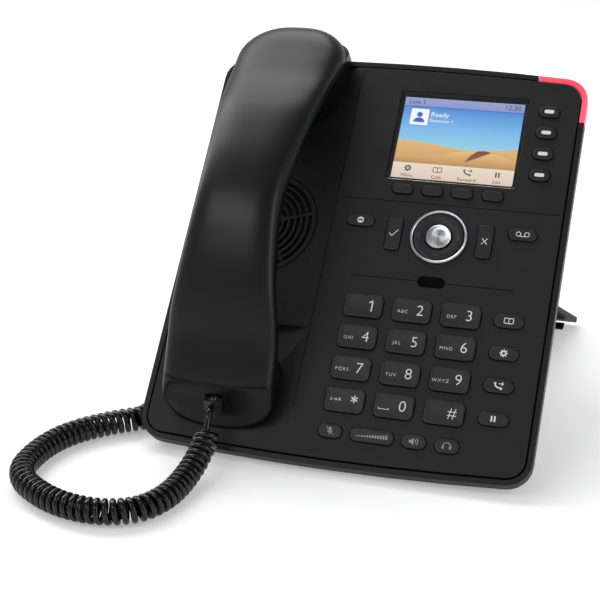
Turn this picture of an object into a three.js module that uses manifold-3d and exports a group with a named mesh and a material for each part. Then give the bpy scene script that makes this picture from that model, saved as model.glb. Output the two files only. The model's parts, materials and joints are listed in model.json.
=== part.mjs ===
// Desk IP phone: a sloping body on a plug-in stand, a handset in its cradle and a curly cord.
// Millimetres, +Z up, the desk at Z = 0. The body is modelled flat, in its own tilted group:
// x across from the body's middle, y up the face from its lower edge, z out of the face.

import * as THREE from "three";
import { mergeVertices } from "three/addons/utils/BufferGeometryUtils.js";
import { ParametricGeometry } from "three/addons/geometries/ParametricGeometry.js";
import Module from "manifold-3d";

const wasm = await Module();
wasm.setup();

// ---- Driving dimensions -------------------------------------------------------------------

const TILT = THREE.MathUtils.degToRad(46.2);    // slope of the face above the desk
const FACE_LIFT = 7;                            // height of the face's lower edge above the desk
const BODY_W = 177;
const BODY_L = 197;
const BODY_CORNER = 11;
const EDGE_BOW = 2.5;                           // how far the top and bottom edges bow outwards
const RIM_W = 2.4;                              // the rear cover's rim, seen round the face
const RIM_TOP = -0.3;
const RIM_DEPTH = 6.6;                          // the rim's side before the undercut
const UNDERCUT = 7;                             // how far the tub is set in behind the rim
const TUB_BACK = -24;                           // rear face of the tub
const TAPER_LENGTH = 40;                        // the tub thins towards the lower edge
const TAPER_TIP = -8.4;
const WALL = 2.2;
const LEDGE_TOP = -4.4;                         // the rear cover's ledge, under the face
const GAP = 0.35;                               // running gap round keys and between pieces

const COVER_T = 2.4;                            // front cover
const COVER_INSET = 3.2;
const KEY_BASE = -3;                            // underside of every key
const CRADLE_LEFT = 3.6;                        // the dished cradle, from the body's left edge
const CRADLE_RIGHT = 69;
const CRADLE_DEPTH = 3;
const CRADLE_START = 60;                        // full depth from here up, fading out below
const CRADLE_FADE = THREE.MathUtils.degToRad(4.6);

const HANDSET_U = 36.8;                         // the handset's middle, from the left edge
const HANDSET_TIP = 8;                          // its two ends, up the face
const HANDSET_TOP = 212;
const SHELL_T = 2.2;

const STAND_SLOPE = THREE.MathUtils.degToRad(33);
const STAND_FOOT_Y = 200;                       // the stand's rear edge, behind the face's edge
const STAND_FOOT_HALF = 84;
const STAND_TOP_HALF = 45;
const STAND_LENGTH = 125.4;
const STAND_T = 2.6;

const COIL_D = 11.5;                            // curly cord, outside
const WIRE_D = 2.8;

// ---- Colours ------------------------------------------------------------------------------

const BLACK = 0x1b1b1d;
const COVER_BLACK = 0x232324;
const KEY_BLACK = 0x2c2c2e;
const SATIN = 0xb9bbbd;
const RUBBER = 0x0d0d0e;
const GLASS = 0x10141c;
const BOARD_GREEN = 0x1c4a2c;
const LENS_RED = 0xf03c52;
const METAL = 0x8c8f93;

// ---- Geometry helpers ---------------------------------------------------------------------

const fromLeft = (u) => u - BODY_W / 2;

// A closed three.js geometry as a manifold solid.
function solid(geometry) {
  const bare = new THREE.BufferGeometry();
  bare.setAttribute("position", geometry.getAttribute("position").clone());
  if (geometry.index) bare.setIndex(geometry.index.clone());
  const merged = mergeVertices(bare, 1e-4);
  const index = merged.index.array;
  const kept = [];
  for (let i = 0; i < index.length; i += 3) {
    const [a, b, c] = [index[i], index[i + 1], index[i + 2]];
    if (a !== b && b !== c && c !== a) kept.push(a, b, c);
  }
  return new wasm.Manifold(new wasm.Mesh({
    numProp: 3,
    vertProperties: new Float32Array(merged.getAttribute("position").array),
    triVerts: new Uint32Array(kept),
  }));
}

function geometryOf(shape) {
  const mesh = shape.getMesh();
  const geometry = new THREE.BufferGeometry();
  geometry.setAttribute("position", new THREE.BufferAttribute(mesh.vertProperties, 3));
  geometry.setIndex(new THREE.BufferAttribute(mesh.triVerts, 1));
  return geometry;
}

const joined = (solids) => solids.reduce((sum, next) => sum.add(next));

// A flat outline made thick, from z = low to z = high.
function slab(shape, low, high, curveSegments = 4) {
  const depth = high - low;
  return new THREE.ExtrudeGeometry(shape, { depth, bevelEnabled: false, curveSegments })
    .translate(0, 0, low);
}

// The same with its two rims broken by a small bevel.
function softSlab(shape, low, high, bevel, curveSegments = 1) {
  const depth = high - low - 2 * bevel;
  return new THREE.ExtrudeGeometry(shape, {
    depth, curveSegments, bevelEnabled: true, bevelSegments: 1,
    bevelThickness: bevel, bevelSize: bevel, bevelOffset: -bevel,
  }).translate(0, 0, low + bevel);
}

// A rectangle with round corners, about (x, y).
function roundedRect(x, y, width, height, radius) {
  const [w, h] = [width / 2, height / 2];
  const shape = new THREE.Shape();
  const corners = [[w - radius, h - radius, 0], [radius - w, h - radius, 1],
    [radius - w, radius - h, 2], [w - radius, radius - h, 3]];
  corners.forEach(([cx, cy, quarter]) => {
    const start = quarter * Math.PI / 2;
    shape.absarc(x + cx, y + cy, radius, start, start + Math.PI / 2);
  });
  return shape;
}

function polygon(points) {
  return new THREE.Shape(points.map(([x, y]) => new THREE.Vector2(x, y)));
}

function box(x, y, z) {
  const [low, high] = [[x[0], y[0], z[0]], [x[1], y[1], z[1]]];
  return new THREE.BoxGeometry(high[0] - low[0], high[1] - low[1], high[2] - low[2])
    .translate((low[0] + high[0]) / 2, (low[1] + high[1]) / 2, (low[2] + high[2]) / 2);
}

// A disc or ring about the z axis at (x, y), from z = low to z = high.
function disc(x, y, radius, low, high, sides = 24) {
  return new THREE.CylinderGeometry(radius, radius, high - low, sides)
    .rotateX(Math.PI / 2).translate(x, y, (low + high) / 2);
}

// A side profile of (y, z) points carried across from x = left to x = right.
function acrossProfile(shape, left, right, curveSegments = 6) {
  const geometry = slab(shape, left, right, curveSegments);
  return geometry.rotateX(Math.PI / 2).rotateZ(Math.PI / 2);
}

// The body's outline, moved in by inset, with its bowed ends and round corners.
function bodyOutline(inset) {
  const w = BODY_W / 2 - inset;
  const [low, high] = [inset, BODY_L - inset];
  const r = Math.max(BODY_CORNER - inset, 2.5);
  const k = 0.45 * r;
  const bow = EDGE_BOW * (1 - 2 * inset / BODY_W);
  const shape = new THREE.Shape();
  shape.moveTo(-w, low + r);
  shape.bezierCurveTo(-w, low + k, -w + k, low, -w + r, low - 0.1 * bow);
  shape.quadraticCurveTo(0, low - 2 * bow, w - r, low - 0.1 * bow);
  shape.bezierCurveTo(w - k, low, w, low + k, w, low + r);
  shape.lineTo(w, high - r);
  shape.bezierCurveTo(w, high - k, w - k, high, w - r, high + 0.1 * bow);
  shape.quadraticCurveTo(0, high + 2 * bow, -w + r, high + 0.1 * bow);
  shape.bezierCurveTo(-w + k, high, -w, high - k, -w, high - r);
  return shape;
}

function material(color, roughness, metalness = 0) {
  return new THREE.MeshStandardMaterial({ color, roughness, metalness });
}

function piece(name, geometry, finish) {
  const mesh = new THREE.Mesh(geometry, finish);
  mesh.name = name;
  return mesh;
}

// ---- Keys ---------------------------------------------------------------------------------

const DIAL_NAMES = ["key_1", "key_2", "key_3", "key_4", "key_5", "key_6", "key_7", "key_8", "key_9",
  "key_star", "key_0", "key_hash"];
const DIAL = { u: 91.8, v: 73.1, pitchU: 22.2, pitchV: 15.1, width: 17.6, height: 11, radius: 2.4 };
const ROCKER = { u: 119.9, v: 110.3, ring: 13.2, ringIn: 11.9, disc: 11.5, hole: 6.3, centre: 5.9 };

// Every plain key: its name, middle from the left edge and up the face, width, height, corner
// radius and how far it stands proud of the face.
function keyLayout() {
  const dial = DIAL_NAMES.map((name, i) => ({
    name, u: DIAL.u + DIAL.pitchU * (i % 3), v: DIAL.v - DIAL.pitchV * Math.floor(i / 3),
    width: DIAL.width, height: DIAL.height, radius: DIAL.radius, proud: 1.3,
  }));
  const pill = (name, u, v, width, height, radius = height / 2 - 0.3) =>
    ({ name, u, v, width, height, radius, proud: 1 });
  const soft = [1, 2, 3, 4].map((n) => pill(`soft_key_${n}`, 85.1 + 14 * n, 133.1, 9.8, 4.8, 1.9));
  const line = [1, 2, 3, 4].map((n) => pill(`line_key_${n}`, 160.6, 189.6 - 11 * n, 9.4, 5.6, 2.2));
  const side = ["directory_key", "settings_key", "transfer_key", "hold_key"]
    .map((name, i) => pill(name, 157.6, DIAL.v - DIAL.pitchV * i, 13.2, 6.2));
  return [
    ...dial, ...soft, ...line, ...side,
    pill("dnd_key", 82.6, 115.2, 12.8, 5.6),
    pill("voicemail_key", 157.5, 115.2, 12.8, 5.6),
    pill("ok_key", 99.1, 110.1, 6.9, 16.4, 1.6),
    pill("cancel_key", 141, 110.1, 6.9, 16.4, 1.6),
    pill("mute_key", 88.1, 13.2, 10.6, 6.2),
    pill("volume_rocker", 106.8, 13.2, 19.6, 6.2),
    pill("speaker_key", 125.4, 13.2, 10.8, 6.2),
    pill("headset_key", 139.9, 13.2, 10.8, 6.2),
  ];
}

const KEYS = keyLayout();

function keyPiece(key) {
  const shape = roundedRect(fromLeft(key.u), key.v, key.width, key.height, key.radius);
  return piece(key.name, softSlab(shape, KEY_BASE, key.proud, 0.45), material(KEY_BLACK, 0.55));
}

const keyHole = (key) => slab(roundedRect(fromLeft(key.u), key.v, key.width + 2 * GAP,
  key.height + 2 * GAP, key.radius + GAP), -12, 4, 1);

// The trim ring, the rocker disc dished towards its centre key, and that key.
function rockerPieces() {
  const { ring, ringIn, disc: outer, hole, centre } = ROCKER;
  const lathe = (points) => {
    const profile = points.map(([r, z]) => new THREE.Vector2(r, z));
    return new THREE.LatheGeometry(profile, 24).rotateX(Math.PI / 2)
      .translate(fromLeft(ROCKER.u), ROCKER.v, 0);
  };
  const trim = lathe([[ringIn, -2], [ring, -2], [ring, 0.9], [ring - 0.5, 1.5], [ringIn, 1.2],
    [ringIn, -2]]);
  const rocker = lathe([[hole, KEY_BASE], [outer, KEY_BASE], [outer, 0.9], [outer - 0.5, 1.2],
    [hole + 0.4, 0.6], [hole, 0.3], [hole, KEY_BASE]]);
  const button = lathe([[0, KEY_BASE], [centre, KEY_BASE], [centre, 1.1], [centre - 0.5, 1.5], [0, 1.2]]);
  return [
    piece("nav_trim_ring", trim, material(SATIN, 0.3, 0.9)),
    piece("nav_rocker", rocker, material(KEY_BLACK, 0.4)),
    piece("nav_centre_key", button, material(SATIN, 0.35, 0.9)),
  ];
}

// ---- Body ---------------------------------------------------------------------------------

const SCREEN = { u: 120.1, v: 161.5, width: 57.6, height: 43.8 };
const GRILLE = { u: 35.9, v: 111 };
const RIB_TURN = 0.27;                          // the grille's ribs from straight across, in radians
const BAY = { left: 30, right: 150, top: 72, floor: -12 };
const LIGHT = { fromU: 152.8, fromV: 174.6, deep: -6.1 };
const PORT_FACE = BAY.top + WALL + 0.3;         // the jack blocks start behind the bay's wall
const NETWORK_PORTS = [104.5, 121.5];
const CORD_PORTS = [47, 60];                    // handset and headset
const PORT_Z = -15.4;
const POWER_PORT = 141;
const STAND_SLOTS = [58, 119];
const STAND_SLOT_V = 111.6;
const HOOK = { v: 166, width: 8, height: 4.4 };

const screenRect = (margin, radius) => roundedRect(fromLeft(SCREEN.u), SCREEN.v, SCREEN.width + margin,
  SCREEN.height + margin, radius);

const hookRect = (clearance, radius) => roundedRect(fromLeft(HANDSET_U), HOOK.v, HOOK.width + clearance,
  HOOK.height + clearance, radius);

// The long shallow trough of the cradle: an arc across, straight up the face.
function trough(depth, low, high, lift) {
  const half = (CRADLE_RIGHT - CRADLE_LEFT) / 2;
  const middle = fromLeft((CRADLE_LEFT + CRADLE_RIGHT) / 2);
  const shape = new THREE.Shape();
  shape.moveTo(middle - half, lift);
  shape.quadraticCurveTo(middle, lift - 2 * depth, middle + half, lift);
  shape.lineTo(middle + half, lift + 12);
  shape.lineTo(middle - half, lift + 12);
  return slab(shape, low, high, 10).rotateX(Math.PI / 2).translate(0, low + high, 0);
}

// Six rings of slots, each broken by five ribs.
function grilleSlots() {
  const slots = [];
  for (let ring = 0; ring < 6; ring += 1) {
    const inner = 6.4 + 3 * ring;
    const outer = inner + 2;
    const rib = 0.65 / inner;
    for (let sector = 0; sector < 5; sector += 1) {
      const start = sector * 2 * Math.PI / 5 + RIB_TURN + rib;
      const end = start + 2 * Math.PI / 5 - 2 * rib;
      const shape = new THREE.Shape();
      shape.absarc(0, 0, outer, start, end, false);
      shape.absarc(0, 0, inner, end, start, true);
      slots.push(slab(shape, -12, 4, ring < 2 ? 2 : 3).translate(fromLeft(GRILLE.u), GRILLE.v, 0));
    }
  }
  return slots;
}

function frontCover() {
  const plate = solid(slab(bodyOutline(COVER_INSET), -COVER_T, 0, 6));
  const bed = solid(slab(bodyOutline(COVER_INSET), LEDGE_TOP + 0.3, -0.1, 6))
    .add(solid(slab(bodyOutline(UNDERCUT + WALL + 0.4), -COVER_T - CRADLE_DEPTH, -0.1, 6)));
  const under = solid(trough(CRADLE_DEPTH, 16, BODY_L, -COVER_T));
  const cradle = bed.intersect(under);
  const dish = solid(trough(CRADLE_DEPTH, CRADLE_START, BODY_L + 10, 0));
  const fade = solid(trough(CRADLE_DEPTH, -60, 0, 0).rotateX(-CRADLE_FADE).translate(0, CRADLE_START, 0));
  const window = solid(slab(screenRect(0, 1), -12, 4));
  const ledge = solid(slab(screenRect(3.4, 1.6), -1.5, 4));
  const rockerHole = solid(disc(fromLeft(ROCKER.u), ROCKER.v, ROCKER.ring + 0.3, -12, 4, 24));
  const hook = solid(slab(hookRect(0.8, 1), -12, 4));
  const cuts = [dish, fade, window, ledge, rockerHole, hook, ...KEYS.map((key) => solid(keyHole(key))),
    ...grilleSlots().map(solid)];
  const cover = plate.add(cradle).subtract(joined(cuts));
  return piece("front_cover", geometryOf(cover), material(COVER_BLACK, 0.6));
}

// The tub behind the rim, seen from the side, moved in by inset.
function tubSide(inset) {
  return acrossProfile(polygon([
    [-4, 4], [-4, TAPER_TIP + inset], [TAPER_LENGTH, TUB_BACK + inset],
    [BODY_L + 4, TUB_BACK + inset], [BODY_L + 4, 4],
  ]), -BODY_W, BODY_W);
}

function lightCorner(clearance) {
  return box([fromLeft(LIGHT.fromU) - clearance, BODY_W], [LIGHT.fromV - clearance, BODY_L + 10],
    [LIGHT.deep - clearance, 6]);
}

function rearCover() {
  const rim = solid(slab(bodyOutline(0), -RIM_DEPTH, RIM_TOP, 6));
  const tub = solid(slab(bodyOutline(UNDERCUT), TUB_BACK, -RIM_DEPTH + 1, 6)).intersect(solid(tubSide(0)));
  const bay = solid(box([fromLeft(BAY.left), fromLeft(BAY.right)], [-10, BAY.top], [-40, BAY.floor]));
  const bayLining = solid(box([fromLeft(BAY.left) - WALL, fromLeft(BAY.right) + WALL],
    [-10, BAY.top + WALL], [-40, BAY.floor + WALL]));
  const upper = solid(slab(bodyOutline(RIM_W), LEDGE_TOP, 2, 6));
  const lower = solid(slab(bodyOutline(UNDERCUT + WALL), TUB_BACK + WALL, 0, 6))
    .intersect(solid(tubSide(WALL + 0.3))).subtract(bayLining);
  const ports = [
    ...NETWORK_PORTS.map((u) => box([fromLeft(u) - 6.4, fromLeft(u) + 6.4], [60, 82],
      [PORT_Z - 4.8, PORT_Z + 3.4])),
    ...CORD_PORTS.map((u) => box([fromLeft(u) - 4.4, fromLeft(u) + 4.4], [60, 82],
      [PORT_Z - 3.6, PORT_Z + 3.2])),
    ...STAND_SLOTS.map((u) => box([fromLeft(u) - 6.5, fromLeft(u) + 6.5],
      [STAND_SLOT_V - 2.8, STAND_SLOT_V + 2.8], [-30, -20])),
  ].map(solid);
  const power = solid(new THREE.CylinderGeometry(4, 4, 20, 20).translate(fromLeft(POWER_PORT), 72, PORT_Z));
  const vents = [];
  for (let row = 0; row < 5; row += 1) {
    const v = 146 + 8 * row;
    vents.push(solid(slab(roundedRect(0, v, 60, 2.4, 1.1), -30, -20)));
  }
  const cover = rim.add(tub)
    .subtract(joined([bay, upper, lower, ...ports, power, ...vents, solid(lightCorner(0))]));
  return piece("rear_cover", geometryOf(cover), material(BLACK, 0.6));
}

function indicatorLight() {
  const band = solid(slab(bodyOutline(0), -RIM_DEPTH, RIM_TOP, 6))
    .subtract(solid(slab(bodyOutline(RIM_W), -20, 4, 6)));
  const lens = band.intersect(solid(lightCorner(-0.3)));
  return piece("indicator_light", geometryOf(lens), material(LENS_RED, 0.35));
}

function displayPieces() {
  const window = slab(screenRect(2.8, 1.4), -1.2, -0.1);
  const panel = softSlab(screenRect(7.2, 1), -4.9, -COVER_T - 0.3, 0.3);
  return [
    piece("display_window", window, material(GLASS, 0.1)),
    piece("display_panel", panel, material(GLASS, 0.25)),
  ];
}

function innerPieces() {
  const board = polygon([[fromLeft(72), 18], [fromLeft(166), 18], [fromLeft(166), 186], [fromLeft(72), 186],
    [fromLeft(72), 82], [fromLeft(34), 82], [fromLeft(34), 58], [fromLeft(72), 58]]);
  const mat = new THREE.Shape(roundedRect(fromLeft(122), 69, 86, 112, 3).getPoints(2));
  const magnetZ = -19;
  const cone = [[0, magnetZ], [11, magnetZ], [11, -13], [24.6, -7.6], [24.6, -5.9], [0, -5.9]]
    .map(([r, z]) => new THREE.Vector2(r, z));
  const speaker = new THREE.LatheGeometry(cone, 32).rotateX(Math.PI / 2)
    .translate(fromLeft(GRILLE.u), GRILLE.v, 0);
  return [
    piece("main_circuit_board", slab(board, -8, -6.4), material(BOARD_GREEN, 0.5)),
    piece("keypad_membrane", slab(mat, -6, -5.2), material(METAL, 0.8)),
    piece("loudspeaker", speaker, material(METAL, 0.5, 0.4)),
  ];
}

// Jack blocks behind the wall of the cable bay, their sockets open towards the lower edge.
function jackPieces() {
  const network = solid(box([fromLeft(96), fromLeft(130)], [PORT_FACE, PORT_FACE + 16], [-21.4, -8.4]))
    .subtract(joined(NETWORK_PORTS.map((u) => solid(box([fromLeft(u) - 5.9, fromLeft(u) + 5.9],
      [PORT_FACE - 1, PORT_FACE + 12.5], [PORT_Z - 3.6, PORT_Z + 3])))));
  const cords = solid(box([fromLeft(40.4), fromLeft(66.6)], [PORT_FACE, PORT_FACE + 7], [-20.4, -10.4]))
    .subtract(joined(CORD_PORTS.map((u) => solid(box([fromLeft(u) - 4.1, fromLeft(u) + 4.1],
      [PORT_FACE - 1, PORT_FACE + 6], [PORT_Z - 3.3, PORT_Z + 3])))));
  const across = [fromLeft(POWER_PORT) - 4.6, fromLeft(POWER_PORT) + 4.6];
  const rod = (radius, length, middle, sides) => {
    const bar = new THREE.CylinderGeometry(radius, radius, length, sides);
    return solid(bar.translate(fromLeft(POWER_PORT), middle, PORT_Z));
  };
  const power = solid(box(across, [PORT_FACE, PORT_FACE + 12], [-20, -10.6]))
    .subtract(rod(3, 10, PORT_FACE + 4, 20))
    .add(rod(1, 8.6, PORT_FACE + 5, 12));
  return [
    piece("network_jack_block", geometryOf(network), material(METAL, 0.4, 0.6)),
    piece("cord_jack_block", geometryOf(cords), material(BLACK, 0.5)),
    piece("power_jack", geometryOf(power), material(BLACK, 0.5)),
  ];
}

function hookSwitch() {
  const plunger = softSlab(hookRect(0, 1.2), -9.6, -2.6, 0.4);
  return piece("hook_switch", plunger, material(KEY_BLACK, 0.5));
}

// ---- Handset ------------------------------------------------------------------------------

// Stations up the face: [v, half-width, height of the side seam, height of the crown].
const HANDSET_STATIONS = [
  [8, 26, 1, 1.2], [12, 26.1, 3.5, 7], [17, 26.1, 7, 12.4], [22, 26, 10, 18.4],
  [28, 25.8, 12.8, 21.4], [40, 25.5, 18.4, 26], [50, 24.7, 24.8, 32], [60, 23.2, 30.2, 37.4],
  [70, 22, 34, 41], [80, 21, 36.8, 43.6], [92, 20, 39.6, 46], [105, 19.7, 40.6, 47],
  [120, 20.3, 39.2, 45.8], [135, 21.4, 36.4, 43], [150, 22.8, 32.6, 39.2], [162, 24, 27.6, 34.6],
  [175, 25, 21.6, 28.8], [188, 26, 15.6, 24], [200, 26.4, 10, 19.4], [207, 26.4, 6.2, 14.5],
  [212, 26.4, 3.4, 7.5],
];
const NECK = 9;                                 // the grip below its seam
const CUP_FLOOR = 0.4;                          // underside of both cups, just off the face
const EAR_BOSS = { v: 178, radius: 15, floor: -1.9 };

function station(v) {
  const last = HANDSET_STATIONS.length - 1;
  let i = 0;
  while (i < last - 1 && HANDSET_STATIONS[i + 1][0] < v) i += 1;
  const [a, b] = [HANDSET_STATIONS[i], HANDSET_STATIONS[i + 1]];
  const t = (v - a[0]) / (b[0] - a[0]);
  return a.map((value, k) => value + t * (b[k] - value));
}

// The narrowing of the plan outline towards a round end, 0 at the tip to 1 inside.
const endRound = (distance, length, power) =>
  Math.pow(Math.max(0, 1 - Math.pow(Math.max(0, 1 - distance / length), power)), 1 / power);

// The long arched body of the handset as one closed skin, moved in by inset.
function handsetSkin(inset, slices, stacks) {
  const [low, high] = [HANDSET_TIP + inset, HANDSET_TOP - inset];
  const skin = (a, b, target) => {
    const v = low + (high - low) * (0.5 - 0.5 * Math.cos(Math.PI * b));
    const [, half, seam, crown] = station(v);
    const width = Math.max(0, half - inset) * endRound(v - low, 13, 2.4) * endRound(high - v, 24, 2);
    const angle = -2 * Math.PI * a;
    const [c, s] = [Math.cos(angle), Math.sin(angle)];
    const across = Math.sign(c) * Math.pow(Math.abs(c), 0.62);
    const up = Math.sign(s) * Math.pow(Math.abs(s), s > 0 ? 0.8 : 0.6);
    const pinch = Math.min(1, width / 8);
    const rise = s > 0 ? Math.max(0, crown - seam - inset) : NECK - inset;
    target.set(width * across, v, Math.max(CUP_FLOOR + inset + 0.2, seam + pinch * rise * up));
  };
  return new ParametricGeometry(skin, slices, stacks);
}

// Plan outlines of the two cups that hang below the arch.
function mouthOutline(inset) {
  const w = 26 - inset;
  const shape = new THREE.Shape();
  shape.moveTo(-w, 24);
  shape.bezierCurveTo(-w, 15 + inset, -18 + inset, 9.6 + inset, 0, 8.2 + inset);
  shape.bezierCurveTo(18 - inset, 9.6 + inset, w, 15 + inset, w, 24);
  shape.lineTo(w, 32);
  shape.bezierCurveTo(w, 44 - inset, 14, 47 - inset, 0, 47 - inset);
  shape.bezierCurveTo(-14, 47 - inset, -w, 44 - inset, -w, 32);
  return shape;
}

function earOutline(inset) {
  const w = 26 - inset;
  const shape = new THREE.Shape();
  shape.moveTo(-w, 196);
  shape.lineTo(-w, 186);
  shape.bezierCurveTo(-w, 168 + inset, -14, 159.5 + inset, 0, 159.5 + inset);
  shape.bezierCurveTo(14, 159.5 + inset, w, 168 + inset, w, 186);
  shape.lineTo(w, 196);
  shape.bezierCurveTo(w, 204 - inset, 16, 208.4 - inset, 0, 208.4 - inset);
  shape.bezierCurveTo(-16, 208.4 - inset, -w, 204 - inset, -w, 196);
  return shape;
}

// Everything above the seam, which starts at the outer shell's edge over the mouth end.
function aboveSeam(lift) {
  const seam = HANDSET_STATIONS.filter(([v]) => v > 30).map(([v, , height]) => [v, height + lift]);
  return acrossProfile(polygon([
    [18.6, 70], [18.6, 20.6 + lift], [22.2, 18.3 + lift], [28.5, 13.8 + lift], ...seam,
    [220, lift - 1], [220, 70],
  ]), -40, 40);
}

const SOCKET = { v: 16.1, z: 11.4, slope: THREE.MathUtils.degToRad(41) };

// A block in the handset jack's own slope: x across, y into the handset, z up.
const inSocket = (geometry) =>
  geometry.rotateX(-SOCKET.slope).translate(0, SOCKET.v, SOCKET.z);

function handsetPieces() {
  const skin = solid(handsetSkin(0, 20, 30));
  const hollow = solid(handsetSkin(SHELL_T, 16, 24));
  const cups = [mouthOutline, earOutline].map((outline, i) => {
    const reach = i ? [150, 215] : [0, 60];
    const ceiling = acrossProfile(polygon([[reach[0], -10],
      ...HANDSET_STATIONS.filter(([v]) => v > reach[0] && v < reach[1]).map(([v, , seam]) => [v, seam - 1]),
      [reach[1], -10]]), -40, 40);
    const limit = solid(ceiling);
    const outer = solid(softSlab(outline(0), CUP_FLOOR, 40, 0.8, 5)).intersect(limit);
    const inner = solid(slab(outline(SHELL_T), CUP_FLOOR + SHELL_T, 40, 4)).intersect(limit);
    return { outer, inner };
  });
  const { v: bossV, radius, floor } = EAR_BOSS;
  const boss = solid(disc(0, bossV, radius, floor, 1, 32));
  const bossHollow = solid(disc(0, bossV, radius - SHELL_T, floor + SHELL_T, 4, 32));
  const whole = joined([skin, boss, ...cups.map((cup) => cup.outer)]);
  const cavity = joined([hollow, bossHollow, ...cups.map((cup) => cup.inner)]);
  const shell = whole.subtract(cavity);
  const above = solid(aboveSeam(0));
  const aboveWithGap = solid(aboveSeam(-0.3));
  const socketHole = solid(inSocket(box([-4.6, 4.6], [-8, 14], [-4, 4])));
  const outerShell = shell.intersect(above);
  const innerShell = shell.subtract(aboveWithGap).subtract(socketHole);
  const earFloor = floor + SHELL_T + 0.3;
  const receiver = solid(disc(0, bossV, radius - SHELL_T - 0.4, earFloor, earFloor + 4.7, 28));
  const microphone = solid(disc(13, 31, 4.6, CUP_FLOOR + SHELL_T + 0.3, CUP_FLOOR + SHELL_T + 3.4, 20));
  return { outerShell, innerShell, receiver, microphone };
}

function handset() {
  const group = new THREE.Group();
  const { outerShell, innerShell, receiver, microphone } = handsetPieces();
  group.add(piece("handset_outer_shell", geometryOf(outerShell), material(BLACK, 0.45)));
  group.add(piece("handset_inner_shell", geometryOf(innerShell), material(BLACK, 0.3)));
  group.add(piece("receiver", geometryOf(receiver), material(METAL, 0.5, 0.5)));
  group.add(piece("microphone", geometryOf(microphone), material(METAL, 0.5, 0.5)));
  const jack = solid(box([-5.6, 5.6], [2.9, 8.8], [-3.7, 4.6]))
    .subtract(solid(box([-4.1, 4.1], [0, 8.1], [-3.2, 3.3])));
  group.add(piece("handset_jack", inSocket(geometryOf(jack)), material(BLACK, 0.5)));
  group.add(piece("handset_plug", inSocket(geometryOf(plug())), material(METAL, 0.2)));
  group.position.x = fromLeft(HANDSET_U);
  return group;
}

const PLUG_BACK = 3.4;

// A four-way modular plug: x across, its nose towards +y, its latch on top.
function plug() {
  const bodyBlock = solid(box([-3.8, 3.8], [-PLUG_BACK, 7.8], [-3, 2]));
  const latch = solid(box([-1.5, 1.5], [-2.6, 6], [1.9, 2.7]));
  return bodyBlock.add(latch);
}

// ---- Stand --------------------------------------------------------------------------------

// The stand lies in its own plane: x across, y from the rear foot up to the body, z underneath.
function standGroup() {
  const group = new THREE.Group();
  group.rotation.x = Math.PI - STAND_SLOPE;
  group.position.set(0, STAND_FOOT_Y, 1.6);
  const [w, n, top] = [STAND_FOOT_HALF, STAND_TOP_HALF, STAND_LENGTH];
  const outline = new THREE.Shape();
  outline.moveTo(-w + 2, 0);
  outline.lineTo(w - 2, 0);
  outline.quadraticCurveTo(w, 0, w, 2);
  outline.lineTo(w - 1, 5);
  outline.lineTo(n, top);
  outline.lineTo(-n, top);
  outline.lineTo(-w + 1, 5);
  outline.lineTo(-w, 2);
  outline.quadraticCurveTo(-w, 0, -w + 2, 0);
  const plate = solid(slab(outline, -STAND_T, 0, 3));
  const hooks = STAND_SLOTS.map((u) => solid(box([fromLeft(u) - 5.6, fromLeft(u) + 5.6],
    [top - 1, top + 5], [-STAND_T, -0.3])));
  const ribs = [-30, 30].map((x) => solid(box([x - 1.2, x + 1.2], [14, top - 12], [-STAND_T - 5, -0.5])));
  const stand = joined([plate, ...hooks, ...ribs]);
  group.add(piece("stand", geometryOf(stand), material(BLACK, 0.6)));
  return group;
}

// ---- Feet ---------------------------------------------------------------------------------

function feet() {
  const rubber = material(RUBBER, 0.9);
  const front = piece("front_foot", box([-70, 70], [10, 17], [0, 2.4]), rubber);
  const underStand = box([-77.5, 77.5], [STAND_FOOT_Y - 8, STAND_FOOT_Y - 1], [0, 1.2]);
  const rear = piece("stand_foot", underStand, rubber);
  return [front, rear];
}

// ---- Cord ---------------------------------------------------------------------------------

// The cord's routes, as [from the body's left edge, behind the face's lower edge, above the desk].
const HANDSET_LEAD = [
  [36.8, -0.8, 25.6], [36.9, -3.5, 25.1], [37, -5.9, 23.3], [37.1, -7.5, 21], [37.2, -8.9, 18.6],
];
const COIL_ROUTE = [
  [37.2, -9.1, 18.2], [37.5, -10.9, 15.6], [37.4, -14.6, 12.9], [36.8, -20.5, 9.8], [35.8, -28.5, 7.1],
  [34.6, -39.7, 5.9], [32.6, -49.7, 5.9], [28.4, -58.3, 5.9], [22.2, -63.6, 5.9], [13.5, -66.8, 5.9],
  [3.5, -67.3, 5.9], [-7.9, -65, 5.9], [-19.1, -59.8, 5.9], [-28.9, -52.5, 5.9], [-34.2, -44.2, 5.9],
  [-35.9, -35.6, 5.9], [-35.2, -23.2, 5.9], [-32.1, -11.9, 5.9], [-26.4, -2.1, 5.9], [-18.8, 6.3, 5.9],
  [-12, 12.3, 5.9], [-4.8, 17.8, 5.9], [-2.4, 24, 5.9], [1, 30, 5.9], [7, 34.5, 5.9], [15, 36.6, 5.9],
  [25, 36.6, 5.9], [34, 35.6, 5.9], [41, 35.4, 6.2], [45.6, 37.4, 8.8], [47, 40.6, 13.6], [47, 43, 20],
  [47, 46.8, 27.6], [47, 52.6, 35],
];
const BASE_LEAD = [[47, 52.8, 35.2], [47, 54.6, 37.6], [47, 56.2, 40.4], [47, 57.6, 43.4], [47, 59, 45.4]];

// A tube of the given number of sides along a route.
function tube(route, diameter, sides, steps) {
  const path = new THREE.CatmullRomCurve3(route.map(([u, y, z]) => new THREE.Vector3(fromLeft(u), y, z)));
  const section = new THREE.Shape();
  for (let i = 0; i < sides; i += 1) {
    const angle = 2 * Math.PI * i / sides;
    const [x, y] = [diameter / 2 * Math.cos(angle), diameter / 2 * Math.sin(angle)];
    if (i === 0) section.moveTo(x, y);
    else section.lineTo(x, y);
  }
  return new THREE.ExtrudeGeometry(section, { steps, bevelEnabled: false, extrudePath: path });
}

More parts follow.
